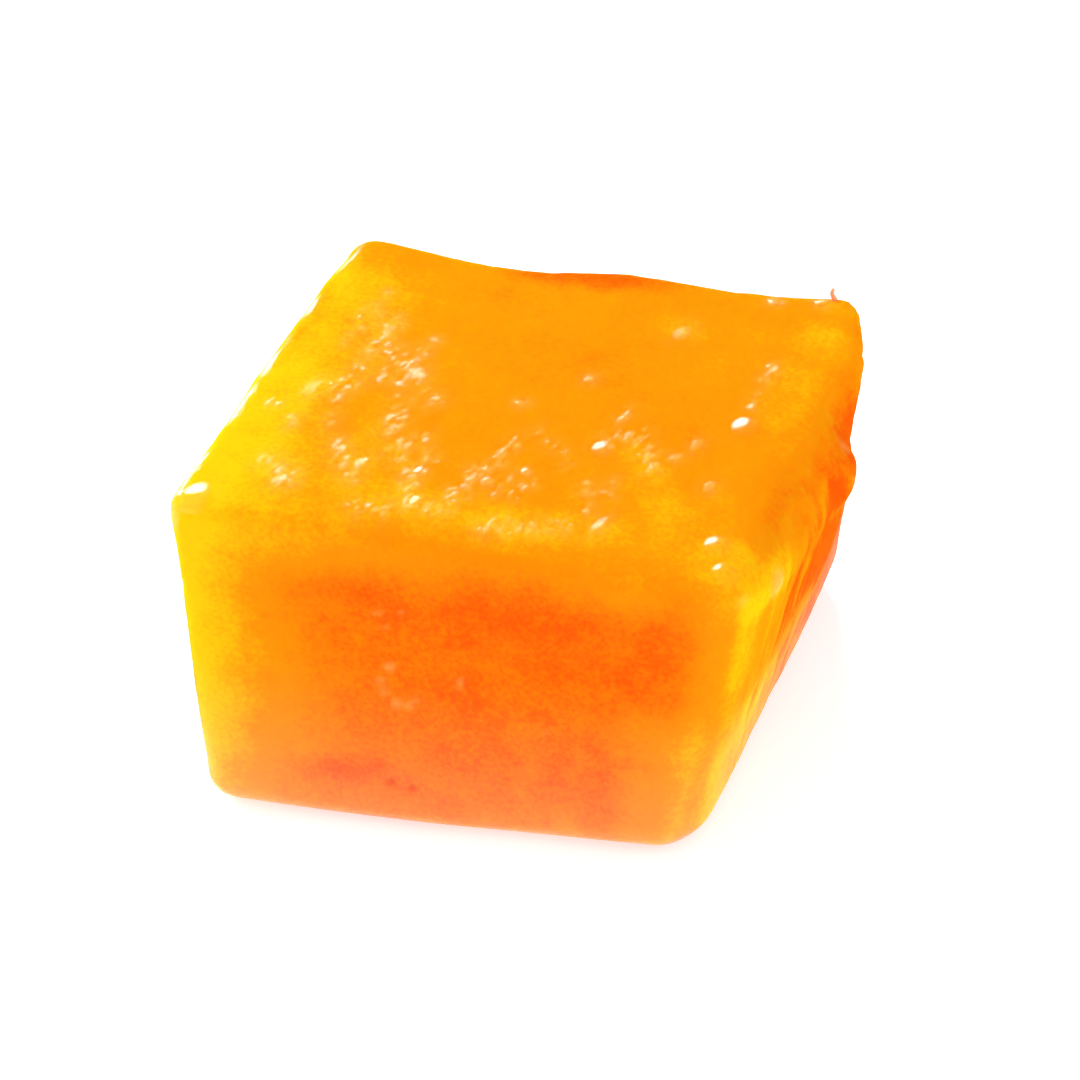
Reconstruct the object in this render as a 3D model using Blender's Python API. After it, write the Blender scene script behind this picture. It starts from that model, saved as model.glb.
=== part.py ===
"""A papaya cube: one diced piece of ripe, peeled papaya flesh, resting on its flat underside.

The piece is the space between six knife cuts. Each cut is close to a flat plane, but it leans,
turns or bows a little, because it was made by hand. Cut wet flesh has no sharp edges, so every
edge is rounded, by a radius that differs from corner to corner. Then the faces get the slow
unevenness of soft fruit, a dip in the back rim, and a nick in the right rim with a lip and a fold
of flesh below it.

+X runs to the right along the longest side, +Y to the back and +Z up. The origin is on the
underside, below the middle of the block's outline.
"""

import bmesh
import bpy
from mathutils import Vector, noise

# Every size below is in millimetres. Every turn, lean and slope is a step in millimetres for
# each millimetre along the cut.
MM = 0.001

# The block between its cuts, from the middle of one face to the middle of the opposite one.
WIDTH = 26.95
DEPTH = 23.9
HEIGHT = 17.7

# The sides. A turn swings a side in plan, and a lean carries it outward as it rises. The front
# also bellies out along its foot. The right side turns less at its top, and its top bows inward
# towards both ends.
LEFT_TURN = 0.14
LEFT_LEAN = 0.04
RIGHT_TURN_LOW = 0.11
RIGHT_TURN_HIGH = 0.05
RIGHT_LEAN = 0.22
RIGHT_BOW = 2.5
FRONT_TURN = 0.025
FRONT_LEAN = -0.07
FRONT_BELLY = 0.4
BACK_TURN = -0.02
BACK_LEAN = -0.02

# The top falls towards the right, is twisted by its slope growing with the distance from the
# middle, and is crowned like the outside of the fruit that it was peeled from.
TOP_SLOPE_RIGHT = -0.045
TOP_TWIST = 0.0022
TOP_CROWN = 0.46

# Edge radius at the eight corners. A corner is named by how far right, back and up it is.
CORNER_RADIUS = {
    (0, 0, 0): 1.8,
    (1, 0, 0): 2.4,
    (0, 1, 0): 2.0,
    (1, 1, 0): 2.2,
    (0, 0, 1): 0.7,
    (1, 0, 1): 1.5,
    (0, 1, 1): 1.3,
    (1, 1, 1): 1.0,
}

# Slow unevenness of the soft faces. It fades out towards the underside, which stays flat.
WAVE_HEIGHT = 0.16
WAVE_LENGTH = 7.5
WAVE_FADE = 2.8

# The right rim has slumped along its middle, which adds to its edge radius there.
SLUMP_PLACE = (1.0, 0.40, 1.0)
SLUMP_SOFTNESS = 3.1
SLUMP_RADIUS = 10.0

# Behind the slump is a nick in the rim, with a small lip right below it and a broad fold under
# the lip.
NICK_PLACE = (1.0, 0.67, 0.97)
NICK_DEPTH = 0.85
NICK_RADIUS = 2.4
LIP_PLACE = (1.0, 0.58, 0.80)
LIP_RISE = 0.85
LIP_RADIUS = 2.3
FOLD_PLACE = (1.0, 0.64, 0.54)
FOLD_RISE = 0.5
FOLD_RADIUS = 4.8

# The back rim dips a little, left of its middle.
DIP_PLACE = (0.31, 1.0, 1.0)
DIP_DEPTH = 0.55
DIP_RADIUS = 7.0

# Grid cells along each edge of the block, and how strongly they crowd towards the rounded edges.
CELLS = 24
CROWDING = 0.55

# Passes that settle a point between cuts whose positions depend on each other.
SETTLING_PASSES = 4

# A corner this close to the ground plane belongs to the flat underside.
FLAT_WITHIN = 1e-4

FLESH_COLOUR = (1.0, 0.38, 0.02, 1.0)
FLESH_ROUGHNESS = 0.28


def between(low, high, share):
    return low + (high - low) * share


def left_cut(y, z):
    return -WIDTH / 2 + LEFT_TURN * y - LEFT_LEAN * (z - HEIGHT / 2)


def right_cut(y, z):
    """The right side leans out as it rises, most of all at the middle of its length."""
    up = z / HEIGHT
    bow = RIGHT_BOW * (2 * y / DEPTH) ** 2 * up
    turn = between(RIGHT_TURN_LOW, RIGHT_TURN_HIGH, up)
    return WIDTH / 2 + turn * y + RIGHT_LEAN * (z - HEIGHT / 2) - bow


def front_cut(x, z):
    """The front bellies out at the middle of its lower edge."""
    belly = FRONT_BELLY * (1 - (2 * x / WIDTH) ** 2) * (1 - z / HEIGHT)
    return -DEPTH / 2 + FRONT_TURN * x - FRONT_LEAN * (z - HEIGHT / 2) - belly


def back_cut(x, z):
    return DEPTH / 2 + BACK_TURN * x + BACK_LEAN * (z - HEIGHT / 2)


def top_cut(x, y):
    crown = TOP_CROWN * (1 - (2 * x / WIDTH) ** 2) * (1 - (2 * y / DEPTH) ** 2)
    return HEIGHT + TOP_SLOPE_RIGHT * x + TOP_TWIST * x * y + crown


def point_in_block(place):
    """The point at a place in the block, from (0, 0, 0) at the low front left to (1, 1, 1)."""
    across, back, up = place
    x, y, z = 0.0, 0.0, HEIGHT * up
    for _ in range(SETTLING_PASSES):
        x = between(left_cut(y, z), right_cut(y, z), across)
        y = between(front_cut(x, z), back_cut(x, z), back)
        z = top_cut(x, y) * up
    return Vector((x, y, z))


def edge_radius(place):
    """The edge radius at a place: a mix of the eight corners' radii, and more on the slumped rim."""
    slump = point_in_block(SLUMP_PLACE)
    total = swelling(point_in_block(place), slump, SLUMP_SOFTNESS, SLUMP_RADIUS)
    for corner, radius in CORNER_RADIUS.items():
        share = 1.0
        for side, along in zip(corner, place):
            share *= along if side else 1 - along
        total += share * radius
    return total


def rounded_place(place):
    """Moves a place on the block's surface inward where it lies within an edge's rounding.

    The rounding is worked out on the unit block, so each radius is divided by the block's size
    along that axis. A place on the open part of a face stays where it is.
    """
    radius = edge_radius(place)
    insets = [radius / size for size in (WIDTH, DEPTH, HEIGHT)]
    core = [min(max(p, inset), 1 - inset) for p, inset in zip(place, insets)]
    steps = [(p - c) / inset for p, c, inset in zip(place, core, insets)]
    length = Vector(steps).length
    return [c + step * inset / length for c, step, inset in zip(core, steps, insets)]


def crowded(share):
    """Moves the grid's lines towards 0 and 1, where the block's edges are rounded."""
    smooth = share * share * (3 - 2 * share)
    return between(share, smooth, CROWDING)


def swelling(point, centre, rise, radius):
    """A round bump, or a dent where rise is negative."""
    distance = (point - centre).length / radius
    return rise * max(0.0, 1 - distance * distance) ** 2


def surface_change(point):
    """How far the flesh stands out of its plain rounded block at a point."""
    fade = min(1.0, point.z / WAVE_FADE)
    wave = WAVE_HEIGHT * noise.noise(point / WAVE_LENGTH) * fade
    nick = swelling(point, point_in_block(NICK_PLACE), -NICK_DEPTH, NICK_RADIUS)
    fold = swelling(point, point_in_block(FOLD_PLACE), FOLD_RISE, FOLD_RADIUS)
    lip = swelling(point, point_in_block(LIP_PLACE), LIP_RISE, LIP_RADIUS)
    dip = swelling(point, point_in_block(DIP_PLACE), -DIP_DEPTH, DIP_RADIUS)
    return wave + nick + lip + fold + dip


def shape_block(bm):
    """Turns the gridded unit cube into the cut, rounded and uneven block, in millimetres."""
    for vert in bm.verts:
        place = [crowded(c + 0.5) for c in vert.co]
        vert.co = point_in_block(rounded_place(place))
    bm.normal_update()
    moved = [vert.co + vert.normal * surface_change(vert.co) for vert in bm.verts]
    for vert, point in zip(bm.verts, moved):
        vert.co = point


def set_origin(bm):
    """Moves the block so that the origin is below the middle of its outline."""
    for axis in (0, 1):
        places = [vert.co[axis] for vert in bm.verts]
        middle = (min(places) + max(places)) / 2
        for vert in bm.verts:
            vert.co[axis] -= middle


def join_underside(bm):
    """Makes the flat underside one face."""
    under = [face for face in bm.faces if all(vert.co.z < FLAT_WITHIN for vert in face.verts)]
    bmesh.ops.dissolve_faces(bm, faces=under, use_verts=True)


def block_mesh(name):
    bm = bmesh.new()
    bmesh.ops.create_cube(bm, size=1.0)
    bmesh.ops.subdivide_edges(bm, edges=bm.edges[:], cuts=CELLS - 1, use_grid_fill=True)
    shape_block(bm)
    set_origin(bm)
    join_underside(bm)
    bmesh.ops.scale(bm, vec=(MM, MM, MM), verts=bm.verts[:])
    bmesh.ops.recalc_face_normals(bm, faces=bm.faces[:])
    mesh = bpy.data.meshes.new(name)
    bm.to_mesh(mesh)
    bm.free()
    mesh.shade_smooth()
    return mesh


def flesh_material():
    material = bpy.data.materials.new("papaya flesh")
    material.use_nodes = True
    shader = material.node_tree.nodes["Principled BSDF"]
    shader.inputs["Base Color"].default_value = FLESH_COLOUR
    shader.inputs["Roughness"].default_value = FLESH_ROUGHNESS
    shader.inputs["Metallic"].default_value = 0.0
    material.diffuse_color = FLESH_COLOUR
    return material


def clear_scene():
    for thing in list(bpy.data.objects):
        bpy.data.objects.remove(thing, do_unlink=True)


def build():
    clear_scene()
    collection = bpy.data.collections.new("papaya cube")
    bpy.context.scene.collection.children.link(collection)
    mesh = block_mesh("papaya_cube")
    mesh.materials.append(flesh_material())
    collection.objects.link(bpy.data.objects.new("papaya_cube", mesh))


build()
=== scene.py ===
"""Looks of the papaya cube: wet, translucent flesh on a white table, under soft light.

The flesh is a fine copy of the CAD solid. Its surface gets the unevenness of cut fruit: slow
swells, streaks left on the top by peeling, torn fibres on the right side, small nicks and a
cell grain. Attributes worked out from the shape say how yellow the flesh is at each point, which
depends on how near the peel it grew and on a painted glow of the light from the left, how much
juice lies on it, where glints, sheen and the white table's light are painted on it, and what marks
it bears. The material reads them.
"""

import math
import random

import bmesh
import bpy
import numpy as np
from mathutils import Matrix, Vector, noise


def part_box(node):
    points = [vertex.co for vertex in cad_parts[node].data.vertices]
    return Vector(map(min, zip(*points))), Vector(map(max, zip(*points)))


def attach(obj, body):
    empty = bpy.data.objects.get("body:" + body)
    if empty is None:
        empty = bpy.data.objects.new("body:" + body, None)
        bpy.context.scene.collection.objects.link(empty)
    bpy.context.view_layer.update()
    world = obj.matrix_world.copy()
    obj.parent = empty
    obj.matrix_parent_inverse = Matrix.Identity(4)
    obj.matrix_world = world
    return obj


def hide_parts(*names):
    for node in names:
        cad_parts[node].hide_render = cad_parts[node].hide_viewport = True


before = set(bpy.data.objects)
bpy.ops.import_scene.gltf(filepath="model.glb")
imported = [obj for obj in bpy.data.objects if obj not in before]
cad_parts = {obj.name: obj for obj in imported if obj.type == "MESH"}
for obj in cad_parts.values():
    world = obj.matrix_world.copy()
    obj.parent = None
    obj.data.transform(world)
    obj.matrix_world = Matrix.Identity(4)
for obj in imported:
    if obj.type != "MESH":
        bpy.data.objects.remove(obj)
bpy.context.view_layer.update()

NODE = "papaya_cube"
BODY = "root"

# Lengths in this script are millimetres unless a name says otherwise. Blender works in metres.
MM = 0.001
LOW, HIGH = (np.array(corner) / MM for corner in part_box(NODE))

# ---------------------------------------------------------------------------------------------
# The fine mesh
# ---------------------------------------------------------------------------------------------

# Size of the mesh's cells, and how near two points of the CAD solid's mesh are to be one.
VOXEL = 0.26
WELD_WITHIN = 0.001

# A smoothing pass is a step towards the mean of the neighbours and a step back, which together
# even out the facets and keep the form.
SMOOTHING_PASSES = 10
SHRINK, REGROW = 0.5, -0.52


def mesh_object(name, mesh):
    thing = bpy.data.objects.new(name, mesh)
    bpy.context.scene.collection.objects.link(thing)
    return thing


def evaluated_mesh(thing):
    """The mesh that an object's modifiers make."""
    graph = bpy.context.evaluated_depsgraph_get()
    return bpy.data.meshes.new_from_object(thing.evaluated_get(graph))


def fine_mesh(node):
    """An even mesh of the CAD solid in millimetres, with cells of the voxel size."""
    bm = bmesh.new()
    bm.from_mesh(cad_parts[node].data)
    bmesh.ops.scale(bm, vec=(1 / MM,) * 3, verts=bm.verts[:])
    bmesh.ops.remove_doubles(bm, verts=bm.verts[:], dist=WELD_WITHIN)
    coarse = bpy.data.meshes.new("coarse")
    bm.to_mesh(coarse)
    bm.free()
    thing = mesh_object("coarse", coarse)
    remesh = thing.modifiers.new("even cells", "REMESH")
    remesh.mode = "VOXEL"
    remesh.voxel_size = VOXEL
    mesh = evaluated_mesh(thing)
    bpy.data.objects.remove(thing)
    return mesh


class Surface:
    """A mesh's points and edges as arrays, with the averaging that the shaping steps need."""

    def __init__(self, mesh):
        self.mesh = mesh
        self.points = np.empty(len(mesh.vertices) * 3)
        mesh.vertices.foreach_get("co", self.points)
        self.points = self.points.reshape(-1, 3)
        ends = np.empty(len(mesh.edges) * 2, int)
        mesh.edges.foreach_get("vertices", ends)
        self.ends = ends.reshape(-1, 2)
        self.neighbours = np.bincount(ends, minlength=len(self.points))

    def average(self, values):
        """Each point's mean over its neighbours."""
        start, end = self.ends.T
        count = len(self.points)
        columns = values.reshape(count, -1).T
        sums = [
            np.bincount(start, column[end], count) + np.bincount(end, column[start], count)
            for column in columns
        ]
        return (np.array(sums) / self.neighbours).T.reshape(values.shape)

    def blur(self, values, passes):
        """The values after being averaged that many times over."""
        for _ in range(passes):
            values = self.average(values)
        return values

    def smooth(self, passes):
        """Evens out the facets and keeps the form."""
        for _ in range(passes):
            for step in (SHRINK, REGROW):
                self.points += step * (self.average(self.points) - self.points)

    def store(self):
        """Writes the points to the mesh."""
        self.mesh.vertices.foreach_set("co", self.points.ravel())
        self.mesh.update()

    def normals(self):
        self.store()
        normals = np.empty(len(self.points) * 3)
        self.mesh.vertex_normals.foreach_get("vector", normals)
        return normals.reshape(-1, 3)

    def add_attribute(self, name, values):
        attribute = self.mesh.attributes.new(name, "FLOAT", "POINT")
        attribute.data.foreach_set("value", np.clip(values, 0, 1).astype(np.float32))


def refined(surface, fields, chosen):
    """A surface whose edges between chosen points are halved, with the fields carried over."""
    mesh = surface.mesh
    for name, values in fields.items():
        attribute = mesh.attributes.new(name, "FLOAT_VECTOR", "POINT")
        attribute.data.foreach_set("vector", values.ravel())
    bm = bmesh.new()
    bm.from_mesh(mesh)
    bm.verts.ensure_lookup_table()
    edges = [edge for edge in bm.edges if all(chosen[vert.index] for vert in edge.verts)]
    bmesh.ops.subdivide_edges(bm, edges=edges, cuts=1, use_grid_fill=True)
    bm.to_mesh(mesh)
    bm.free()
    finer = Surface(mesh)
    carried = {}
    for name in fields:
        values = np.empty(len(finer.points) * 3)
        mesh.attributes[name].data.foreach_get("vector", values)
        carried[name] = values.reshape(-1, 3)
        mesh.attributes.remove(mesh.attributes[name])
    return finer, carried


def ramp(values, start, end):
    """0 at start and 1 at end, with a smooth turn at both."""
    share = np.clip((values - start) / (end - start), 0, 1)
    return share * share * (3 - 2 * share)


def noise_at(points, size, seed, stretch=(1, 1, 1)):
    """Smooth noise between about -1 and 1, whose bumps are about size across."""
    scale = np.array(stretch) * size
    shifted = points / scale + seed
    return np.array([noise.noise(point) for point in shifted])


def ridges_at(points, size, seed, stretch):
    """Noise with rounded hollows between thin ridges, from 0 to 1."""
    return 1 - np.abs(noise_at(points, size, seed, stretch)) * 2


# ---------------------------------------------------------------------------------------------
# Drops of juice on the top
# ---------------------------------------------------------------------------------------------

# The peeler's strokes, and the drops along them, run from front to back and lean to the right.
STROKE_TURN = math.radians(17)

# A drop is x, y, radius, stretch along the stroke, wetness and paleness, which paints a soft glint
# on it. These are the ones placed one by one.
BEADS = (
    (10.4, 0.9, 0.72, 1.1, 1.0, 0.0),
    (10.9, -7.8, 0.74, 1.1, 1.0, 0.0),
    (11.6, -9.5, 0.72, 1.1, 1.0, 0.0),
    (4.1, -2.6, 0.60, 1.1, 0.8, 0.2),
    (-4.1, -6.4, 0.38, 1.2, 0.9, 0.6),
    (-3.8, -8.5, 0.36, 1.3, 0.6, 0.7),
    (0.9, -5.2, 0.34, 1.0, 0.8, 0.6),
    (-7.0, -6.4, 0.30, 1.8, 0.35, 0.8),
    (-8.2, -5.7, 0.32, 1.3, 0.3, 0.8),
    (-6.0, 0.8, 0.34, 1.7, 0.3, 0.8),
    (-0.8, -6.3, 0.34, 1.3, 0.35, 0.8),
    (4.6, -0.1, 0.28, 2.2, 0.3, 0.7),
    (5.1, -7.9, 0.34, 2.2, 0.25, 0.9),
    (8.4, -1.0, 0.28, 2.0, 0.2, 0.7),
    (7.6, -2.2, 0.32, 1.4, 0.2, 0.8),
    (9.6, -3.8, 0.34, 1.4, 0.15, 0.8),
    (10.4, 2.4, 0.30, 1.4, 0.3, 0.7),
    (10.9, 5.4, 0.28, 1.2, 0.25, 0.7),
    (2.3, 2.4, 0.26, 1.2, 0.25, 0.7),
    (-0.6, -0.2, 0.28, 1.0, 0.25, 0.7),
    (-10.5, -8.6, 0.38, 1.4, 0.3, 0.8),
    (9.8, 10.9, 0.40, 1.0, 0.5, 0.6),
    (12.1, 11.2, 0.44, 1.0, 0.9, 0.5),
    (-14.3, -11.0, 0.75, 2.0, 1.0, 0.3),
    (5.9, 7.2, 0.46, 1.6, 0.1, 0.7),
    (-10.8, -1.3, 0.42, 1.9, 0.1, 0.5),
)

# Where a stroke left small drops: x and y of its ends, how many drops and their mean radius.
STROKES = (
    (-8.4, 5.4, -8.8, 1.2, 17, 0.20),
    (-6.4, 4.1, -6.6, 1.0, 15, 0.18),
    (-6.4, 1.0, -6.2, -4.4, 26, 0.18),
    (-7.9, 3.0, -7.5, 0.0, 12, 0.16),
    (-9.3, 0.6, -9.1, -4.2, 15, 0.16),
    (-8.6, -5.0, -6.9, -8.0, 19, 0.17),
    (-5.6, -4.2, -5.3, -6.0, 10, 0.17),
    (-4.8, -3.6, -3.8, -5.8, 10, 0.15),
    (-4.6, -6.5, -4.2, -8.6, 14, 0.19),
    (-4.1, -8.8, -2.2, -8.7, 15, 0.18),
    (0.1, -2.8, -2.3, -8.3, 44, 0.18),
    (-0.4, -7.0, 1.7, -5.6, 14, 0.14),
    (-0.5, -9.4, 2.8, -8.7, 26, 0.17),
    (2.8, -8.0, 4.2, -8.6, 7, 0.15),
    (4.0, -2.4, 5.6, -0.5, 14, 0.18),
    (5.6, -1.0, 7.0, -3.9, 20, 0.20),
    (3.9, -5.4, 4.2, -7.0, 8, 0.17),
    (5.0, -4.8, 5.2, -5.8, 5, 0.16),
    (10.9, 5.2, 10.3, 2.0, 8, 0.13),
    (-12.6, -2.8, -10.6, -4.0, 8, 0.16),
    (-11.6, -7.0, -9.6, -8.8, 15, 0.18),
    (-6.6, -9.6, -4.8, -9.4, 10, 0.16),
    (-5.2, 0.2, -4.6, -1.4, 7, 0.15),
    (-10.4, 2.4, -8.8, 8.0, 8, 0.13),
    (0.8, -2.0, 3.2, -4.4, 8, 0.12),
)

# The drops of the strokes: the seed of their draws, how far they stray from the stroke's line, and
# between which values their radius (as a share of the mean), stretch, wetness (before it is
# squared) and paleness, a painted soft glint, lie.
DROP_SEED = 4
STROKE_SPREAD = 0.24
RADIUS_SHARES = (0.65, 1.3)
STRETCHES = (1.0, 2.1)
WETNESS_ROOTS = (0.0, 0.55)
PAINTED_GLINTS = (0.2, 1.0)

# Height of a drop as a share of its radius.
DROP_HEIGHT = 0.13

# Coat on a drop of wetness 1, and the share of a drop's height over which the coat fades in.
DROP_GLOSS = 0.5
DROP_SHORE = 0.4

# How far the outlines of drops and spots stray, over which length, and the noises' seeds.
WAVER = 0.09
WAVER_LENGTH = 0.4
WAVER_SEEDS = (41.0, 43.0)

# A drop with a larger radius than this has a plain outline, and it calms the marks of the stroke
# around it, between these distances in radii.
LARGE_DROP = 0.45
CALM_AROUND = (1.5, 1.1)

# How far past a drop's edge the surface is still disturbed by the stroke.
STROKE_REACH = 0.6

# How far past a drop's edge the mesh is made finer, once and twice over.
FINE_MARGINS = (0.30, 0.08)

# How much the surface has to face up for its mesh to be made finer, and for it to hold drops.
FINE_WHERE_UP = 0.6
DROPS_WHERE_UP = 0.45


def all_drops():
    """The beads, and the strokes' drops as uneven in place, size and wetness as real ones."""
    draw = random.Random(DROP_SEED)
    drops = list(BEADS)
    for x0, y0, x1, y1, count, radius in STROKES:
        for _ in range(count):
            share = draw.random()
            drops.append((
                x0 + (x1 - x0) * share + draw.gauss(0, STROKE_SPREAD),
                y0 + (y1 - y0) * share + draw.gauss(0, STROKE_SPREAD),
                radius * draw.uniform(*RADIUS_SHARES),
                draw.uniform(*STRETCHES),
                draw.uniform(*WETNESS_ROOTS) ** 2,
                draw.uniform(*PAINTED_GLINTS),
            ))
    return drops


def drop_distance(points, drop):
    """Distance from a drop's middle, seen from above, as a share of its radius."""
    x, y, radius, stretch = drop[:4]
    c, s = math.cos(STROKE_TURN), math.sin(STROKE_TURN)
    east, north = points[:, 0] - x, points[:, 1] - y
    across = (east * c - north * s) / radius
    along = (east * s + north * c) / (radius * stretch)
    return np.hypot(across, along)


def wavered(points):
    """The points moved about a little, which makes whatever is laid out on them irregular."""
    moves = [noise_at(points, WAVER_LENGTH, seed) for seed in WAVER_SEEDS]
    return points + np.column_stack((*moves, np.zeros(len(points)))) * WAVER


def near_drops(points, drops, margin):
    """Whether each point is on a drop or within the margin of one."""
    close = np.zeros(len(points), bool)
    for drop in drops:
        close |= drop_distance(points, drop) < 1 + margin / drop[2]
    return close


def drop_fields(points, drops, on_top):
    """What the drops do to the points of the top: height, wetness, painted glint, stroke and calm.

    The stroke is how near a point is to a small drop, and the calm is 1 on a large one.
    """
    strayed = wavered(points)
    height, wet, pale_and_glint, stroke, calm = np.zeros((5, len(points)))
    for drop in drops:
        radius, wetness, paleness_and_highlight = drop[2], drop[4], drop[5]
        large = radius > LARGE_DROP
        distance = drop_distance(points if large else strayed, drop)
        if large:
            calm = np.maximum(calm, ramp(distance, *CALM_AROUND))
        dome = np.clip(1 - distance**2, 0, 1)
        height = np.maximum(height, DROP_HEIGHT * radius * dome)
        wet = np.maximum(wet, DROP_GLOSS * wetness * ramp(dome, 0.0, DROP_SHORE))
        # The paleness paints a soft glint on the drop.
        pale_and_glint = np.maximum(pale_and_glint, paleness_and_highlight * dome)
        stroke = np.maximum(stroke, 1 - (distance - 1) * radius / STROKE_REACH)
    stroke = np.clip(stroke, 0, 1) * (1 - calm)
    return (values * on_top for values in (height, wet, pale_and_glint, stroke, calm))


# ---------------------------------------------------------------------------------------------
# Colour over the piece
# ---------------------------------------------------------------------------------------------

# How far the normals are blurred, to tell which side of the piece a point is near, which face it
# is on, and how near an edge it is.
SIDE_REACH = 5.0
FACE_REACH = 0.45
EDGE_REACH = 0.7
# How much a right-angled edge shortens the mean of the normals around it.
RIGHT_ANGLE_LOSS = 0.29

# Soft ovals on the top that are yellower (+) or deeper orange (-): x and y of the middle, half
# length, half width, turn of the length from +X in degrees, and change.
TOP_TINTS = (
    (7.4, -5.2, 5.2, 1.7, -52, 0.15),
    (12.8, 4.6, 8.0, 2.6, 90, 0.15),
    (5.8, 7.6, 2.4, 1.6, 0, 0.14),
    (10.4, 8.8, 4.4, 2.2, 0, 0.09),
    (13.8, 11.4, 2.6, 1.8, 0, 0.24),
    (13.2, 8.0, 2.2, 1.8, 0, 0.08),
    (-2.6, 8.2, 3.5, 2.0, 0, -0.08),
    (3.0, 7.4, 3.0, 2.6, 10, 0.02),
    (2.8, -8.6, 5.0, 1.7, 5, 0.15),
    (7.2, -8.2, 2.6, 1.8, 0, 0.10),
    (-3.0, -8.6, 5.5, 1.8, 0, 0.15),
    (12.0, -9.0, 3.4, 2.6, 0, 0.20),
    (0.0, 3.0, 4.8, 3.0, 0, -0.08),
    (6.2, -2.4, 2.4, 1.8, 0, 0.08),
    (10.4, -5.2, 1.8, 2.2, 0, 0.10),
    (8.6, 0.2, 3.6, 1.6, 60, -0.06),
    (12.6, -4.8, 1.6, 0.8, 80, -0.08),
    (12.4, -7.2, 2.4, 1.2, 80, 0.08),
    (0.2, 12.0, 6.2, 3.0, -2, -0.42),
    (-10.6, 11.4, 3.4, 4.0, 0, -0.14),
    (-13.4, 3.6, 7.0, 1.8, 82, -0.30),
    (-9.6, -4.6, 5.4, 2.0, 82, -0.16),
)

# The same on the sides: the place along the side, the height, the half length and half height over
# which it fades, and the change. The first on the front is a bruise.
SIDE_TINTS = {
    "front": (
        (-6.8, 3.9, 1.9, 0.6, -0.12),
        (-9.2, 14.0, 1.8, 2.2, -0.08),
        (-13.0, 14.6, 1.4, 1.4, -0.08),
        (0.5, 16.4, 4.0, 1.6, -0.16),
    ),
    "right": (
        (-0.5, 9.7, 2.2, 1.2, -0.12),
        (-10.5, 8.0, 2.4, 2.4, -0.17),
        (6.5, 15.0, 3.5, 1.4, -0.16),
    ),
}

# How yellow the flesh is deep inside, how much yellower it is in the band below the top, and how
# much less of the top's tints the back takes over.
YELLOW_WITHIN = 0.17
YELLOW_OUTSIDE = 0.32
TINT_LOSS_ON_BACK = 0.7

# The band: the depths below the top at which it ends and at which it is full, how far they waver
# with a noise of this bump size and seed, and how much less deep it is at the right, which comes
# in between two places along X.
BAND_FADE = (4.2, 1.0)
BAND_WAVER = 0.8
BAND_NOISE = (4.5, 21.0)
BAND_LESS = 0.7
BAND_LESS_BETWEEN = (7.0, 10.0)

# Changes of the yellowness that fade in along an axis or more: the change, and for each axis where
# it starts and where it is full.
TOP_FADES = (
    (0.04, ("y", -2.0, -6.0)),
    (0.05, ("y", -9.0, -10.5)),
    (-0.04, ("y", 3.0, 8.0)),
)
FRONT_FADES = (
    (0.44, ("x", 8.0, 12.5)),
    (0.32, ("x", 5.0, 9.5), ("z", 11.0, 6.5)),
    (0.05, ("z", 10.0, 7.0)),
    (0.07, ("z", 4.0, 1.0)),
)
RIGHT_FADES = (
    (0.18, ("z", 12.8, 14.6), ("y", 3.0, -1.0)),
    (0.26, ("z", 8.6, 7.0), ("y", 6.0, 0.0), ("y", -11.0, -6.0)),
)

# The yellow of the torn right side at Y = 0, how much it falls for each millimetre back, its
# limits, and a yellower stretch near the front: its middle, half length and change.
RIGHT_YELLOW = 0.236
RIGHT_YELLOW_FALL = 0.058
RIGHT_YELLOW_LIMITS = (0.20, 0.74)
RIGHT_YELLOW_STRETCH = (-10.0, 2.0, 0.08)

# How much less of the torn side's yellow there is in the band and along the rim of the top, and
# the depths below the top between which that rim lies.
TORN_LOSS_IN_BAND = 0.5
TORN_LOSS_AT_RIM = 0.7
TORN_RIM = (2.2, 0.6)

# Where the peel was, which is also where the painted glow of the light from the left is brightest:
# the left side's x at Y = 0, and how far it moves right for each millimetre back.
LEFT_SIDE = -13.5
LEFT_SIDE_TURN = 0.14

# How far the yellow reaches, partly flesh that grew near the peel and partly a painted glow of the
# light from the left, how much less at the foot and below which height, and how steeply it ends.
# Then how much of it is lost on the top, where it fades towards the back, and on the left side.
PEEL_AND_GLOW_REACH = 4.9
PEEL_AND_GLOW_LOSS_AT_FOOT = 2.4
PEEL_AND_GLOW_FOOT = (6.0, 1.0)
PEEL_AND_GLOW_STEEPNESS = 1.7
PEEL_AND_GLOW_LOSS_ON_TOP = 0.04
PEEL_AND_GLOW_FADES = (
    (0.30, ("y", -7.0, 6.0)),
    (0.28, ("y", 7.5, 11.5)),
)
PEEL_AND_GLOW_LOSS_ON_LEFT = 0.42

# Blotches on the left side: how strong, and their noise's bump size, seed and stretch.
BLOTCHES = 0.10
BLOTCH_NOISE = (3.2, 17.0, (1, 1, 2.2))

# The top at X = 0 lies this far below the highest point, and falls by this for each millimetre to
# the right.
TOP_BELOW_HIGHEST = 0.7
TOP_FALL = 0.045

# The faces: the axis that each looks along, which way, and how much the blurred normal has to
# point that way for a point to begin to belong to the face, and to belong to it fully.
FACES = {
    "top": (2, 1, 0.5, 0.9),
    "under": (2, -1, 0.3, 0.9),
    "right": (0, 1, 0.5, 0.9),
    "left": (0, -1, 0.5, 0.9),
    "front": (1, -1, 0.5, 0.9),
    "back": (1, 1, 0.3, 0.8),
}
# The axis that a place along each side is measured on.
ALONG = {"front": 0, "right": 1, "back": 0, "left": 1}


def spread(surface, values, reach):
    """The values blurred along the surface, with the reach as the blur's standard deviation."""
    return surface.blur(values.copy(), max(1, round(2 * (reach / VOXEL) ** 2)))


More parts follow.
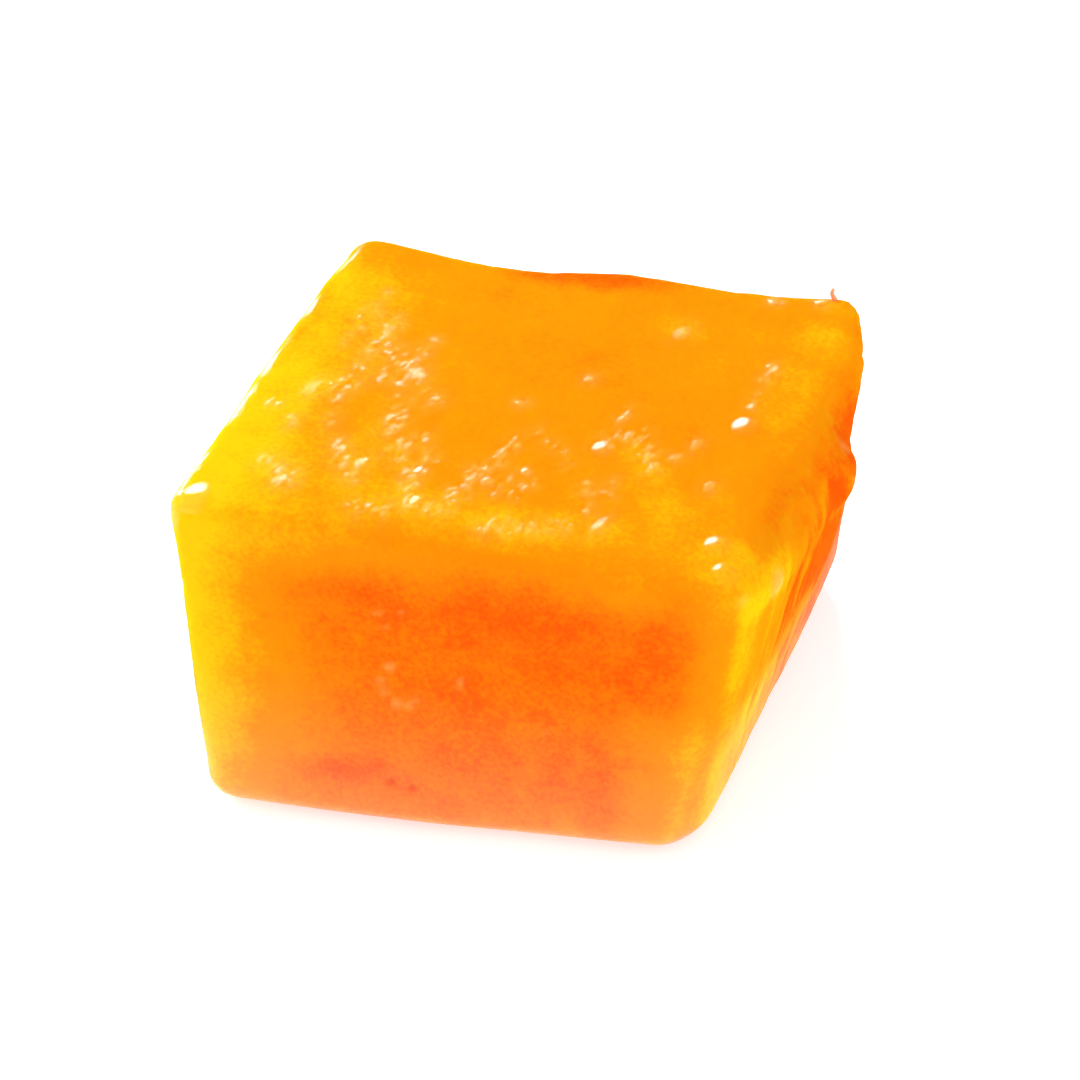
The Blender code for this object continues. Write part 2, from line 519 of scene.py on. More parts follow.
def patch(points, x, y, half_length, half_width, degrees):
    """A soft-edged oval patch seen from above, 1 at its middle and 0 outside."""
    c, s = math.cos(math.radians(degrees)), math.sin(math.radians(degrees))
    east, north = points[:, 0] - x, points[:, 1] - y
    length = (east * c + north * s) / half_length
    width = (north * c - east * s) / half_width
    return ramp(length * length + width * width, 1.0, 0.0)


def faces_of(mean):
    """How much each point belongs to each face of the piece."""
    return {
        face: ramp(way * mean[:, axis], start, full)
        for face, (axis, way, start, full) in FACES.items()
    }


def top_depth(points):
    """How far a point lies below the top, which falls slightly to the right."""
    return HIGH[2] - TOP_BELOW_HIGHEST - TOP_FALL * points[:, 0] - points[:, 2]


def faded(points, fades):
    """The sum of the changes, each of them faded in along its axes."""
    total = np.zeros(len(points))
    for change, *axes in fades:
        share = np.ones(len(points))
        for axis, start, full in axes:
            share *= ramp(points[:, "xyz".index(axis)], start, full)
        total += change * share
    return total


def bell(values, middle, half_width):
    """1 in the middle, falling smoothly towards 0 past the half width on both sides."""
    return np.exp(-(((values - middle) / half_width) ** 2))


def top_tint(points):
    """How much the tints on the top change the yellowness."""
    ovals = sum(change * patch(points, *oval) for *oval, change in TOP_TINTS)
    return ovals + faded(points, TOP_FADES)


def side_tint(points, faces):
    """How much the tints on the sides change the yellowness."""
    change = np.zeros(len(points))
    for side, tints in SIDE_TINTS.items():
        along, z = points[:, ALONG[side]], points[:, 2]
        for place, height, half_length, half_height, amount in tints:
            oval = bell(along, place, half_length) * bell(z, height, half_height)
            change += amount * oval * faces[side]
    return change


def outer_band(points):
    """1 in the flesh just below the top, which grew near the peel, and 0 deeper down."""
    wobble = BAND_WAVER * noise_at(points, *BAND_NOISE)
    wobble -= BAND_LESS * ramp(points[:, 0], *BAND_LESS_BETWEEN)
    return ramp(top_depth(points) - wobble, *BAND_FADE)


def peel_and_glow_share(points, faces):
    """Yellow from the peel and from a painted glow of the left light: 1 at the left side, 0 far
    from it.
    """
    x, y, z = points.T
    from_left = np.maximum(x - LEFT_SIDE - LEFT_SIDE_TURN * y, 0)
    reach = PEEL_AND_GLOW_REACH - PEEL_AND_GLOW_LOSS_AT_FOOT * ramp(z, *PEEL_AND_GLOW_FOOT)
    share = np.exp(-((from_left / reach) ** PEEL_AND_GLOW_STEEPNESS))
    share *= 1 - (PEEL_AND_GLOW_LOSS_ON_TOP + faded(points, PEEL_AND_GLOW_FADES)) * faces["top"]
    return share * (1 - PEEL_AND_GLOW_LOSS_ON_LEFT * faces["left"])


def torn_yellowness(points):
    """How yellow the torn right side is: yellow-orange at the front and deep orange at the back."""
    y = points[:, 1]
    middle, half_length, change = RIGHT_YELLOW_STRETCH
    yellow = np.clip(RIGHT_YELLOW - RIGHT_YELLOW_FALL * y, *RIGHT_YELLOW_LIMITS)
    yellow += change * bell(y, middle, half_length) + faded(points, RIGHT_FADES)
    return np.clip(yellow, 0, 1)


def yellowness(points, faces):
    """How yellow the flesh is, from 0 deep orange to 1 yellow.

    It is yellow towards the left, where the peel was nearest and where a glow of the light from the
    left is painted, yellow-orange on the top, and deep orange within, which the front, right and
    back cuts lay open.
    """
    band = outer_band(points)
    tint = top_tint(points) * (1 - TINT_LOSS_ON_BACK * faces["back"])
    yellow = YELLOW_WITHIN + (YELLOW_OUTSIDE + tint) * np.maximum(band, faces["top"])
    yellow += faces["front"] * (1 - band) * faded(points, FRONT_FADES)
    # Yellow near the peel, and a painted glow of the light from the left.
    yellow += (1 - yellow) * peel_and_glow_share(points, faces)
    yellow += BLOTCHES * faces["left"] * noise_at(points, *BLOTCH_NOISE)
    at_rim = ramp(top_depth(points), *TORN_RIM)
    torn = faces["right"] * (1 - TORN_LOSS_IN_BAND * band) * (1 - TORN_LOSS_AT_RIM * at_rim)
    yellow += (torn_yellowness(points) - yellow) * torn
    return np.clip(yellow + side_tint(points, faces), 0, 1)


# ---------------------------------------------------------------------------------------------
# Shaping the surface
# ---------------------------------------------------------------------------------------------

# Small nicks (+) and bumps (-) by the side they are on: the place along the side, its height,
# radius and depth.
NICKS = {
    "front": (
        (-4.8, 3.4, 0.42, 0.16),
        (-3.7, 3.2, 0.36, 0.13),
        (-4.8, 10.3, 0.55, -0.07),
        (-4.6, 8.5, 0.90, -0.06),
        (-1.2, 9.9, 0.40, -0.05),
        (8.0, 6.0, 0.40, 0.05),
        (-10.8, 12.6, 0.35, 0.05),
    ),
    "right": ((-7.1, 14.6, 0.90, -0.20), (0.2, 9.5, 0.45, 0.10), (-1.6, 7.4, 0.35, 0.08)),
    "back": ((-3.2, 9.0, 0.80, 0.14), (6.2, 5.2, 0.60, 0.12), (1.4, 13.2, 0.45, 0.08)),
    "left": ((3.0, 7.0, 0.70, 0.14), (-4.0, 11.0, 0.50, 0.10), (6.4, 12.6, 0.40, 0.08)),
}

# Pale spots by the side they are on: the place along the side, its height, radius and paleness. The
# first on the right is a painted highlight on the bump at that place.
PALE_SPOTS_AND_HIGHLIGHTS = {
    "right": (
        (-7.1, 14.6, 0.95, 1.0),
        (-9.9, 15.6, 0.50, 0.4),
        (-4.6, 5.6, 0.70, 0.4),
        (3.0, 15.2, 0.45, 0.7),
        (2.2, 13.8, 0.30, 0.5),
        (6.0, 11.2, 0.40, 0.4),
        (8.4, 6.4, 0.55, 0.4),
    ),
    "front": (
        (-4.7, 10.3, 0.42, 0.8),
        (-5.2, 9.4, 0.36, 0.6),
        (-5.0, 8.8, 0.36, 0.6),
        (-4.4, 8.2, 0.44, 0.7),
        (-3.8, 8.1, 0.36, 0.6),
        (-3.4, 8.5, 0.32, 0.5),
        (-1.2, 9.9, 0.30, 0.8),
        (-1.3, 9.4, 0.22, 0.4),
        (-4.0, 13.6, 0.24, 0.6),
        (-5.2, 13.4, 0.26, 0.6),
        (-4.9, 12.6, 0.22, 0.4),
        (3.1, 7.4, 0.22, 0.3),
    ),
    "back": (
        (-5.6, 12.0, 0.40, 0.5),
        (2.2, 8.6, 0.30, 0.5),
        (2.9, 7.9, 0.22, 0.5),
        (8.1, 11.4, 0.50, 0.4),
    ),
    "left": ((-6.2, 8.4, 0.45, 0.4), (1.2, 12.8, 0.35, 0.4), (5.4, 5.2, 0.50, 0.3)),
}

# How far from its middle, in radii, a pale spot starts to show and where it shows fully.
SPOT_EDGE = (1.0, 0.2)

# The rim between the top and the left side is crisp, as the knife left it, and so is the back of
# the rim on the right. Each is sharp between these places along Y, with a fade at both ends.
SHARPEN_REACH = 0.8
SHARPEN = 0.9
SHARP_LEFT = ((-11.5, -8.0), (10.5, 7.5))
SHARP_RIGHT = ((2.5, 6.0), (14.0, 13.0))

# Where a rim of the top begins and where it is full: the lean of the blurred normal to its side,
# and the depth below the top.
RIM_LEAN = (0.2, 0.35)
RIM_DEPTH = (2.0, 1.0)

# Unevenness of the cut faces, as layers of noise from slow to fine: bump size, seed and height.
# The slowest is weaker on the top, and all relief but the drops' is weaker on the left rim.
UNEVENNESS = ((5.0, 1.5, 0.10), (1.8, 5.5, 0.035), (0.6, 9.5, 0.008))
SWELL_LOSS_ON_TOP = 0.5
RELIEF_LOSS_ON_LEFT_RIM = 0.7

# Streaks left by peeling: bump size, seed, stretch and height. The broad ones cover the top, and
# the fine ones lie around the small drops.
BROAD_STREAKS = (0.8, 8.0, (1, 3.5, 2), 0.022)
FINE_STREAKS = (0.30, 3.0, (1, 2.2, 2), 0.035)

# Fibres of the torn right side, the same way. They slant by this for each millimetre up. They
# fade in from the front, between two places along Y, and from the foot, between two heights.
FIBRES = (1.1, 7.0, (1, 1, 7), 0.12)
FINE_FIBRES = (0.45, 2.0, (1, 1, 9), 0.03)
FIBRE_SLANT = (0, -0.12, 0)
TORN_FROM_FRONT = (-10.5, -6.5)
TORN_FROM_FOOT = (2.0, 7.0)

# The dark gaps between fibres: how dark where there is no fibre, how much a fibre takes away, and
# how much they lose towards the rim, between two heights.
GAP_DARKNESS = 0.55
GAP_LESS_ON_FIBRE = 0.5
GAP_LOSS = 0.7
GAP_LOSS_BETWEEN = (13.5, 15.5)

# Small chips along the rims: bump size, seed, how much of the noise leaves the rim whole, depth.
CHIPS = (0.9, 13.5, 0.2, 0.22)

# Wetness: of the sides, of the strokes on the top, and of the juice that has run down, which lies
# below this height, as does the painted light of the white table. The right side is drier by this,
# and dries fully between two heights.
SIDE_WET = 0.03
STROKE_WET = 0.006
WET_BELOW = 11.5
DRIER_ON_RIGHT = 0.65
RIGHT_DRIES_BETWEEN = (6.0, 9.0)

# The juice on the left rim lies where the surface tilts this much: the sine of its tilt to the
# left. Its gaps come from noise: bump size, seed, and the values between which the gaps close.
RIM_LINE_START = (0.30, 0.38)
RIM_LINE_END = (0.85, 0.70)
RIM_GAPS = (2.2, 31.0, (-0.25, 0.15))

# Painted sheen, pale, around the small drops, where the fine streaks are between these two values.
PAINTED_SHEEN = 0.25
PAINTED_SHEEN_ON_STREAKS = (-0.4, 0.4)

# Painted reflection of the white table low on the right side, and where it fades in along Z and
# along Y.
RIGHT_TABLE_LIGHT = 0.25
RIGHT_TABLE_LIGHT_Z = (8.5, 5.0)
RIGHT_TABLE_LIGHT_Y = (6.0, 0.0)

# The depth at which a nick shows its darkest colour.
DARK_NICK = 0.12


def on_rim(sideways, points):
    """1 on the top's rim where the blurred normals lean to the asked side, and 0 away from it."""
    return ramp(sideways, *RIM_LEAN) * ramp(top_depth(points), *RIM_DEPTH)


def sharpen_rims(surface, near):
    """Pushes the crisp rims of the top out to an edge."""
    normals = surface.normals()
    points = surface.points
    y = points[:, 1]
    bulge = ((points - spread(surface, points, SHARPEN_REACH)) * normals).sum(axis=1)
    amount = np.zeros(len(points))
    for sideways, (start, end) in ((-near[:, 0], SHARP_LEFT), (near[:, 0], SHARP_RIGHT)):
        amount += on_rim(sideways, points) * ramp(y, *start) * ramp(y, *end)
    surface.points += normals * (SHARPEN * np.maximum(bulge, 0) * amount)[:, None]
    surface.store()


def on_sides(points, faces, marks):
    """For each round mark on a side, the points' distance from it in radii and its strength."""
    for side, rows in marks.items():
        along = points[:, ALONG[side]]
        for place, z, radius, strength in rows:
            distance = np.hypot(along - place, points[:, 2] - z) / radius
            yield distance, strength * faces[side]


def nick_depth(points, faces):
    """How deep the nicks are at each point, below 0 on the bumps."""
    dents = on_sides(points, faces, NICKS)
    return sum(deep * np.clip(1 - distance**2, 0, 1) ** 2 for distance, deep in dents)


def spot_paleness_and_highlight(points, faces):
    """How pale the spots on the sides make each point, one of them a painted highlight."""
    spots = on_sides(points, faces, PALE_SPOTS_AND_HIGHLIGHTS)
    return np.maximum.reduce([pale_and_glint * ramp(distance, *SPOT_EDGE) for distance, pale_and_glint in spots])


def turned(points, angle):
    """The points turned about Z, so that a feature running that way lies along Y."""
    c, s = math.cos(angle), math.sin(angle)
    x, y, z = points.T
    return np.column_stack((x * c - y * s, x * s + y * c, z))


def refine_top(surface, drops):
    """Sharpens the rims and makes the mesh finer around the drops.

    Returns the finer surface and its normals blurred over three distances.
    """
    normals = surface.normals()
    near = spread(surface, normals, SIDE_REACH)
    sharpen_rims(surface, near)
    fields = {
        "near": near,
        "mean": spread(surface, normals, FACE_REACH),
        "edge_mean": spread(surface, normals, EDGE_REACH),
    }
    for margin in FINE_MARGINS:
        on_top = fields["mean"][:, 2] > FINE_WHERE_UP
        chosen = near_drops(surface.points, drops, margin) & on_top
        surface, fields = refined(surface, fields, chosen)
    return surface, fields


def chips_at(points, edge_mean):
    """How deep the rims are chipped, which depends on how near an edge each point is."""
    size, seed, whole, depth = CHIPS
    rim = np.clip((1 - np.linalg.norm(edge_mean, axis=1)) / RIGHT_ANGLE_LOSS, 0, 1)
    return depth * np.clip(noise_at(points, size, seed) - whole, 0, 1) * rim


def streaks_at(points, layer):
    """One layer of streaks along the strokes, and its height."""
    size, seed, stretch, height = layer
    return noise_at(turned(points, STROKE_TURN), size, seed, stretch), height


def torn_fibres(points, right):
    """The fibres of the torn right side: their height, and how dark the gaps between them are."""
    z = points[:, 2]
    torn = ramp(points[:, 1], *TORN_FROM_FRONT) * right
    slanted = points + np.outer(z, FIBRE_SLANT)
    *coarse_layer, coarse_height = FIBRES
    *fine_layer, fine_height = FINE_FIBRES
    coarse = ridges_at(slanted, *coarse_layer) * torn
    fine = noise_at(slanted, *fine_layer) * torn
    height = (coarse_height * coarse + fine_height * fine) * ramp(z, *TORN_FROM_FOOT)
    gaps = np.clip(GAP_DARKNESS - GAP_LESS_ON_FIBRE * (coarse + fine), 0, 1) * torn
    return height, gaps * (1 - GAP_LOSS * ramp(z, *GAP_LOSS_BETWEEN))


def unevenness(points, top):
    """The height of the slow swells and of the finer waves on them."""
    layers = [height * noise_at(points, size, seed) for size, seed, height in UNEVENNESS]
    return sum(layers) - SWELL_LOSS_ON_TOP * top * layers[0]


def juice_and_table_light_at_foot(points):
    """How much juice has run down to each point, and how much table light is painted there: 1 at
    the foot, fading upwards.
    """
    return np.clip(1 - points[:, 2] / WET_BELOW, 0, 1) ** 2


def wetness(points, normals, faces, stroke, left_rim):
    """How wet the flesh is beside the drops."""
    z, right = points[:, 2], faces["right"]
    wet = SIDE_WET * (1 - faces["top"]) + STROKE_WET * stroke
    wet = np.maximum(wet, juice_and_table_light_at_foot(points)) * (1 - DRIER_ON_RIGHT * right)
    tilt = -normals[:, 0]
    rim_line = ramp(tilt, *RIM_LINE_START) * ramp(tilt, *RIM_LINE_END)
    size, seed, closing = RIM_GAPS
    rim_juice = rim_line * ramp(noise_at(points, size, seed), *closing)
    wet += (rim_juice - wet) * left_rim
    return wet * (1 - right * ramp(z, *RIGHT_DRIES_BETWEEN))


def painted_table_light(points, faces):
    """Painted reflection and glow of the white table: at the foot, and low on the right side."""
    right_glow = RIGHT_TABLE_LIGHT * faces["right"]
    right_glow *= ramp(points[:, 2], *RIGHT_TABLE_LIGHT_Z) * ramp(points[:, 1], *RIGHT_TABLE_LIGHT_Y)
    return (juice_and_table_light_at_foot(points) + right_glow) * (1 - faces["under"])


def paleness_and_highlight(points, faces, stroke, fine_streaks):
    """How pale the flesh is painted beside the drops: a painted sheen around the small ones, and
    spots on the sides.
    """
    sheen = PAINTED_SHEEN * stroke**2 * ramp(fine_streaks, *PAINTED_SHEEN_ON_STREAKS)
    return np.maximum(sheen, spot_paleness_and_highlight(wavered(points), faces))


def shape_surface(surface):
    """Pushes the surface in and out along its normals.

    Returns the shaped surface and what the material reads.
    """
    drops = all_drops()
    surface, fields = refine_top(surface, drops)
    normals = surface.normals()
    points = surface.points.copy()
    faces = faces_of(fields["mean"])
    left_rim = on_rim(-fields["near"][:, 0], points)
    on_top = fields["mean"][:, 2] > DROPS_WHERE_UP
    drop_height, drop_wet, drop_painted_glint, stroke, calm = drop_fields(points, drops, on_top)
    broad_streaks, broad_height = streaks_at(points, BROAD_STREAKS)
    fine_streaks, fine_height = streaks_at(points, FINE_STREAKS)
    fibres, fibre_gaps = torn_fibres(points, faces["right"])
    nicks = nick_depth(points, faces)

    height = unevenness(points, faces["top"])
    height += broad_height * broad_streaks * faces["top"] * (1 - calm)
    height += fine_height * fine_streaks * stroke
    height += fibres - nicks - chips_at(points, fields["edge_mean"]) * (1 - left_rim)
    height *= 1 - RELIEF_LOSS_ON_LEFT_RIM * left_rim
    height += drop_height
    surface.points += normals * (height * (1 - faces["under"]))[:, None]
    surface.points[:, 2] = np.maximum(surface.points[:, 2], LOW[2])

    return surface, {
        "yellow": yellowness(points, faces),
        "wet": np.maximum(drop_wet, wetness(points, normals, faces, stroke, left_rim)),
        # Painted reflection and glow of the white table.
        "table_light": painted_table_light(points, faces),
        "fibres": fibre_gaps,
        "nicks": nicks / DARK_NICK,
        # Painted glints and sheen on and around the drops, and pale spots, one a painted highlight.
        "pale_and_glint": np.maximum(drop_painted_glint, paleness_and_highlight(points, faces, stroke, fine_streaks)),
    }


def put_on_body(thing):
    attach(thing, BODY)


def make_flesh(material):
    """The block of flesh, which is shown in place of the CAD solid."""
    mesh = fine_mesh(NODE)
    surface = Surface(mesh)
    surface.smooth(SMOOTHING_PASSES)
    surface, attributes = shape_surface(surface)
    surface.points *= MM
    surface.store()
    for name, values in attributes.items():
        surface.add_attribute(name, values)
    mesh.materials.clear()
    mesh.materials.append(material)
    mesh.shade_smooth()
    flesh = mesh_object("papaya_flesh", mesh)
    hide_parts(NODE)
    put_on_body(flesh)


# A torn fibre that stands up from the back right corner: its foot, its height, how far its tip
# leans to the right, its radius at the foot, the share of it that is lost at the tip, and the
# number of steps along it. It sways by so much, through so many radians from foot to tip.
FIBRE_FOOT = (12.5, 11.4, 16.8)
FIBRE_HEIGHT = 1.5
FIBRE_LEAN = 0.35
FIBRE_RADIUS = 0.20
FIBRE_TAPER = 0.6
FIBRE_STEPS = 10
FIBRE_SWAY = 0.18
FIBRE_SWAY_TURN = 5.0


def make_fibre(material):
    """The torn fibre, which sways and tapers towards its tip."""
    curve = bpy.data.curves.new("fibre", "CURVE")
    curve.dimensions = "3D"
    curve.bevel_depth = FIBRE_RADIUS * MM
    curve.bevel_resolution = 3
    curve.use_fill_caps = True
    line = curve.splines.new("POLY")
    line.points.add(FIBRE_STEPS)
    for step, point in enumerate(line.points):
        share = step / FIBRE_STEPS
        sway = FIBRE_SWAY * math.sin(FIBRE_SWAY_TURN * share)
        offset = (FIBRE_LEAN * share * share + sway, sway / 2, FIBRE_HEIGHT * share)
        point.co = (*((foot + move) * MM for foot, move in zip(FIBRE_FOOT, offset)), 1)
        point.radius = 1 - FIBRE_TAPER * share
    bent = mesh_object("fibre curve", curve)
    mesh = evaluated_mesh(bent)
    bpy.data.objects.remove(bent)
    mesh.materials.clear()
    mesh.materials.append(material)
    mesh.shade_smooth()
    put_on_body(mesh_object("papaya_fibre", mesh))


# ---------------------------------------------------------------------------------------------
# Materials
# ---------------------------------------------------------------------------------------------


class Nodes:
    """Short calls for building a material's node tree."""

    def __init__(self, name):
        self.material = bpy.data.materials.new(name)
        self.material.use_nodes = True
        self.tree = self.material.node_tree
        self.shader = self.tree.nodes["Principled BSDF"]

    def add(self, kind, **settings):
        node = self.tree.nodes.new(kind)
        for key, value in settings.items():
            setattr(node, key, value)
        return node

    def link(self, source, target):
        self.tree.links.new(source, target)

    def put(self, target, value):
        """Links a socket, or sets a plain value."""
        if isinstance(value, bpy.types.NodeSocket):
            self.link(value, target)
        else:
            target.default_value = value

    def attribute(self, name):
        return self.add("ShaderNodeAttribute", attribute_name=name).outputs["Fac"]

    def noise(self, size_mm, detail, roughness, seed):
        """Noise whose bumps are about so many millimetres across, from 0 to 1."""
        place = self.add("ShaderNodeTexCoord").outputs["Object"]
        mapping = self.add("ShaderNodeMapping")
        mapping.inputs["Scale"].default_value = (1 / (MM * size_mm),) * 3
        mapping.inputs["Location"].default_value = (seed, seed, seed)
        self.link(place, mapping.inputs["Vector"])
        texture = self.add("ShaderNodeTexNoise")
        texture.inputs["Scale"].default_value = 1.0
        texture.inputs["Detail"].default_value = detail
        texture.inputs["Roughness"].default_value = roughness
        self.link(mapping.outputs["Vector"], texture.inputs["Vector"])
        return texture.outputs["Fac"]

    def math(self, operation, first, second):
        node = self.add("ShaderNodeMath", operation=operation)
        self.put(node.inputs[0], first)
        self.put(node.inputs[1], second)
        return node.outputs["Value"]

    def between(self, value, low, high):
        """0 where the value is low and 1 where it is high, with a smooth turn at both."""
        node = self.add("ShaderNodeMapRange", interpolation_type="SMOOTHSTEP")
        self.put(node.inputs["Value"], value)
        node.inputs["From Min"].default_value = low
        node.inputs["From Max"].default_value = high
        return node.outputs["Result"]

    def mix(self, share, first, second):
        node = self.add("ShaderNodeMix", data_type="RGBA")
        self.put(node.inputs["Factor"], share)
        self.put(node.inputs["A"], first)
        self.put(node.inputs["B"], second)
        return node.outputs["Result"]

    def bump(self, height, strength, distance_mm, normal=None):
        node = self.add("ShaderNodeBump")
        node.inputs["Strength"].default_value = strength
        node.inputs["Distance"].default_value = distance_mm * MM
        self.link(height, node.inputs["Height"])
        if normal is not None:
            self.link(normal, node.inputs["Normal"])
        return node.outputs["Normal"]

    def set(self, **values):
        for key, value in values.items():
            self.put(self.shader.inputs[key.replace("_", " ")], value)


# Colours of the flesh, from deepest to yellowest, with the yellowness where each is pure.
DEEP_FLESH = (1.0, 0.100, 0.002, 1)
ORANGE_FLESH = (1.0, 0.285, 0.002, 1)
YELLOW_FLESH = (1.0, 0.580, 0.004, 1)
DEEP_AT, ORANGE_AT, YELLOW_AT = 0.0, 0.5, 1.0

# Colours that come over the flesh by an attribute, and how strongly.
OVERLAYS = (
    # A painted reflection and glow of the white table.
    ("table_light", 0.10, (1.0, 0.52, 0.36, 1)),
    # Painted glints and sheen on and around the drops, and pale spots, one a painted highlight.
    ("pale_and_glint", 0.45, (1.0, 0.56, 0.14, 1)),
    ("nicks", 0.50, (0.70, 0.060, 0.004, 1)),
)

# Mottling of the yellowness, from coarse to fine: the size, detail, roughness and seed of a noise,
# and how much it changes the yellowness. The gaps between the torn fibres lower it by this.
MOTTLING = (
    (5.0, 2.0, 0.5, 3.0, 0.28),
    (1.3, 4.0, 0.6, 8.0, 0.30),
    (0.26, 2.0, 0.6, 1.0, 0.36),
)
GAP_DEPTH = 0.60

# Noise of the cells and of the finer grain: size, detail, roughness and seed. Then the bumps that
# they make: strength and depth, for the flesh and for the juice over it.
CELLS = (0.75, 2.0, 0.5, 5.0)
GRAIN = (0.28, 3.0, 0.6, 2.0)
CELL_BUMP = (0.35, 0.05)
GRAIN_BUMP = (0.30, 0.03)
JUICE_BUMP = (0.05, 0.05)

# Roughness of the flesh where the cells' noise is 0, and how much more it is where that is 1.
LEAST_ROUGH = 0.26
ROUGHER_ON_CELLS = 0.16

PALE_FIBRE = (1.0, 0.42, 0.22, 1)
TABLE_WHITE = (0.66, 0.66, 0.66, 1)
WHITE = (1, 1, 1, 1)


def flesh_colour(n):
    """The colour from the yellowness and its mottling, and then whatever comes over it."""
    yellow = n.attribute("yellow")
    for *texture, amount in MOTTLING:
        change = n.math("MULTIPLY", n.math("SUBTRACT", n.noise(*texture), 0.5), amount)
        yellow = n.math("ADD", yellow, change)
    gaps = n.math("MULTIPLY", n.attribute("fibres"), GAP_DEPTH)
    yellow = n.math("SUBTRACT", yellow, gaps)
    colour = n.mix(n.between(yellow, DEEP_AT, ORANGE_AT), DEEP_FLESH, ORANGE_FLESH)
    colour = n.mix(n.between(yellow, ORANGE_AT, YELLOW_AT), colour, YELLOW_FLESH)
    for name, strength, over in OVERLAYS:
        colour = n.mix(n.math("MULTIPLY", n.attribute(name), strength), colour, over)
    return colour


def flesh_material():
    """Translucent flesh with a cell grain, under a coat of juice where it is wet."""
    n = Nodes("papaya flesh")
    cells = n.noise(*CELLS)
    normal = n.bump(cells, *CELL_BUMP)
    normal = n.bump(n.noise(*GRAIN), *GRAIN_BUMP, normal)
    roughness = n.math("ADD", n.math("MULTIPLY", cells, ROUGHER_ON_CELLS), LEAST_ROUGH)

    n.set(Base_Color=flesh_colour(n), Roughness=roughness, Normal=normal)
    n.set(Metallic=0.0, Specular_IOR_Level=0.0, IOR=1.40)
    n.set(Subsurface_Weight=1.0, Subsurface_Radius=(1.0, 0.34, 0.10), Subsurface_Scale=0.0016)
    n.set(Coat_Weight=n.attribute("wet"), Coat_Roughness=0.15, Coat_IOR=1.5)
    n.set(Coat_Normal=n.bump(cells, *JUICE_BUMP))
    n.shader.subsurface_method = "RANDOM_WALK"
    return n.material


def fibre_material():
    n = Nodes("torn papaya fibre")
    n.set(Base_Color=PALE_FIBRE, Roughness=0.4, Metallic=0.0, IOR=1.40)
    n.set(Subsurface_Weight=0.5, Subsurface_Radius=(1.0, 0.5, 0.3), Subsurface_Scale=0.0005)
    return n.material


def table_material():
    n = Nodes("white table")
    n.set(Base_Color=TABLE_WHITE, Roughness=0.5, IOR=1.45)
    n.set(Emission_Color=WHITE, Emission_Strength=0.58)
    return n.material


# ---------------------------------------------------------------------------------------------
# The stage
# ---------------------------------------------------------------------------------------------

# The camera looks at the middle of the piece, from this azimuth and elevation. Its roll is in
# degrees.
CAMERA_AZIMUTH, CAMERA_ELEVATION = 15.0, 39.8
CAMERA_DISTANCE = 350.0
CAMERA_ROLL = -2.79
LENS = 235.0
CLIP_NEAR_M, CLIP_FAR_M = 0.01, 10

TABLE_SIZE_M = 3.0

# Brightness of the white room, as the light that it gives and where it is seen mirrored.
ROOM_LIGHT, ROOM_IN_GLOSS = 0.55, 0.25

# Lights: azimuth, elevation, distance and width, then watts for the soft ones, and the brightness
# of the mirror image for those that are only seen mirrored in the wet gloss.
SOFT_LIGHTS = {
    "left": (255, 42, 600, 320, 2.0),
    "front": (12, 50, 600, 500, 1.2),
    "right": (80, 35, 600, 320, 0.55),
}
REFLECTIONS = {"glints": (201, 34, 600, 250, 32), "rim": (218, 10, 500, 240, 14)}


def direction(azimuth, elevation):
    """The direction towards an azimuth and elevation; azimuth 0 is the front and 90 the right."""
    a, e = math.radians(azimuth), math.radians(elevation)
    return Vector((math.sin(a) * math.cos(e), -math.cos(a) * math.cos(e), math.sin(e)))


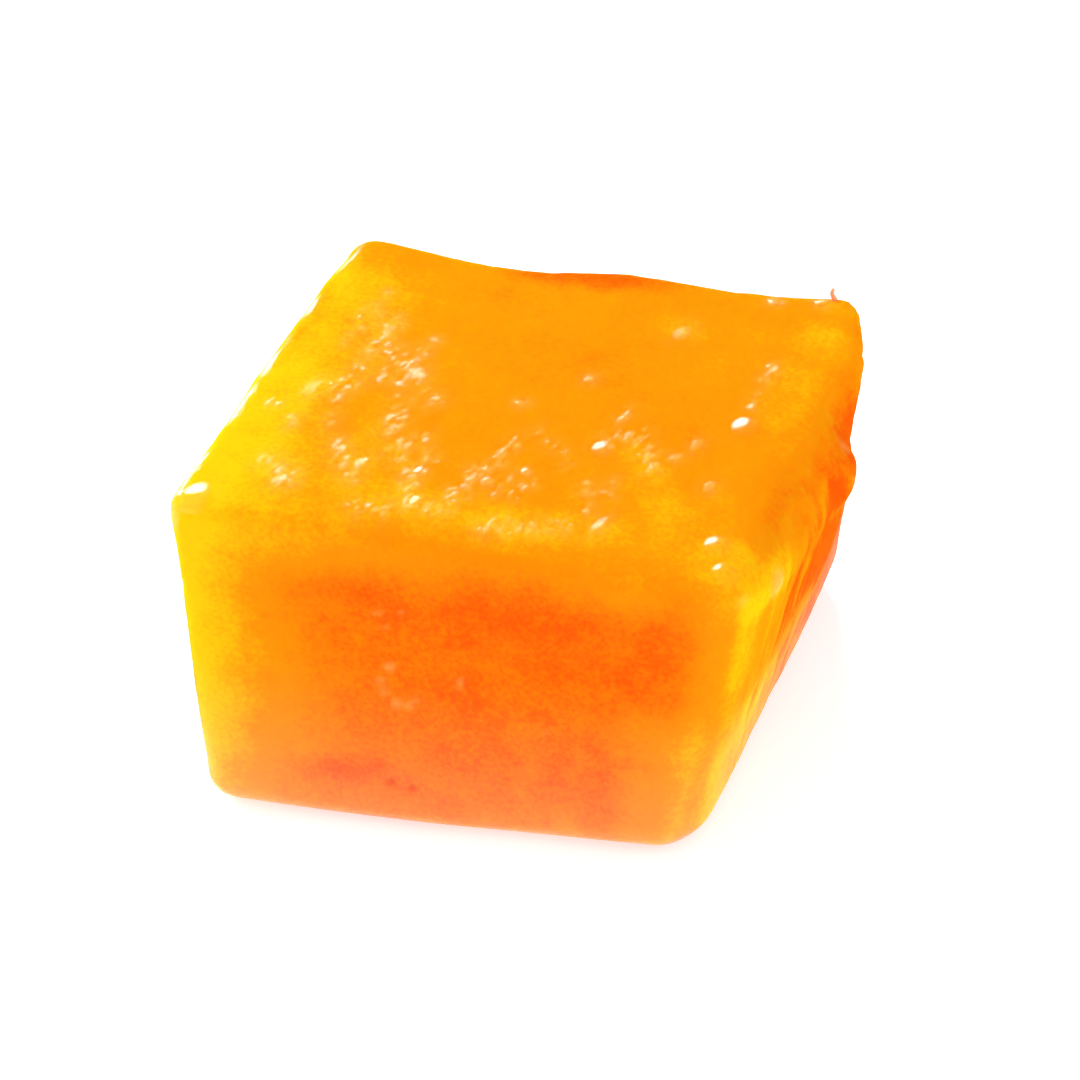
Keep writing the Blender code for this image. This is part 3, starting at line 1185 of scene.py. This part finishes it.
def make_camera():
    data = bpy.data.cameras.new("camera")
    data.lens = LENS
    data.clip_start, data.clip_end = CLIP_NEAR_M, CLIP_FAR_M
    camera = bpy.data.objects.new("camera", data)
    bpy.context.scene.collection.objects.link(camera)
    aim = Vector((LOW + HIGH) / 2) * MM
    back = direction(CAMERA_AZIMUTH, CAMERA_ELEVATION)
    camera.location = aim + back * CAMERA_DISTANCE * MM
    upright = (-back).to_track_quat("-Z", "Y").to_matrix()
    roll = Matrix.Rotation(math.radians(CAMERA_ROLL), 3, "Z")
    camera.rotation_euler = (upright @ roll).to_euler()
    bpy.context.scene.camera = camera


def area_light(name, azimuth, elevation, distance, width, power):
    data = bpy.data.lights.new(name, "AREA")
    data.shape = "DISK"
    data.size = width * MM
    data.energy = power
    light = bpy.data.objects.new(name, data)
    bpy.context.scene.collection.objects.link(light)
    towards = direction(azimuth, elevation)
    light.location = towards * distance * MM
    light.rotation_euler = towards.to_track_quat("Z", "Y").to_euler()
    return light


def soft_light(*settings):
    """A wide light that shades and casts soft shadows, and isn't seen in the wet gloss."""
    area_light(*settings).visible_glossy = False


def reflection(name, azimuth, elevation, distance, width, brightness):
    """A lamp that is only seen mirrored in the wet gloss, as a disc of the given brightness."""
    disc_area = math.pi * (width * MM / 2) ** 2
    power = brightness * math.pi * disc_area
    light = area_light(name, azimuth, elevation, distance, width, power)
    light.visible_diffuse = False


def white_room():
    """A white world, which is dimmer where it is seen mirrored in the wet gloss."""
    world = bpy.data.worlds.new("white room")
    world.use_nodes = True
    tree = world.node_tree
    ray = tree.nodes.new("ShaderNodeLightPath")
    strength = tree.nodes.new("ShaderNodeMapRange")
    strength.inputs["To Min"].default_value = ROOM_LIGHT
    strength.inputs["To Max"].default_value = ROOM_IN_GLOSS
    background = tree.nodes["Background"]
    background.inputs["Color"].default_value = WHITE
    tree.links.new(ray.outputs["Is Glossy Ray"], strength.inputs["Value"])
    tree.links.new(strength.outputs["Result"], background.inputs["Strength"])
    return world


def make_stage():
    """The white table, the room and its lights."""
    bpy.ops.mesh.primitive_plane_add(size=TABLE_SIZE_M)
    table = bpy.context.object
    table.name = "table"
    table.data.materials.append(table_material())

    bpy.context.scene.world = white_room()
    for name, settings in SOFT_LIGHTS.items():
        soft_light(name, *settings)
    for name, settings in REFLECTIONS.items():
        reflection(name, *settings)
    bpy.context.scene.view_settings.view_transform = "Standard"


make_camera()
make_stage()
make_flesh(flesh_material())
make_fibre(fibre_material())
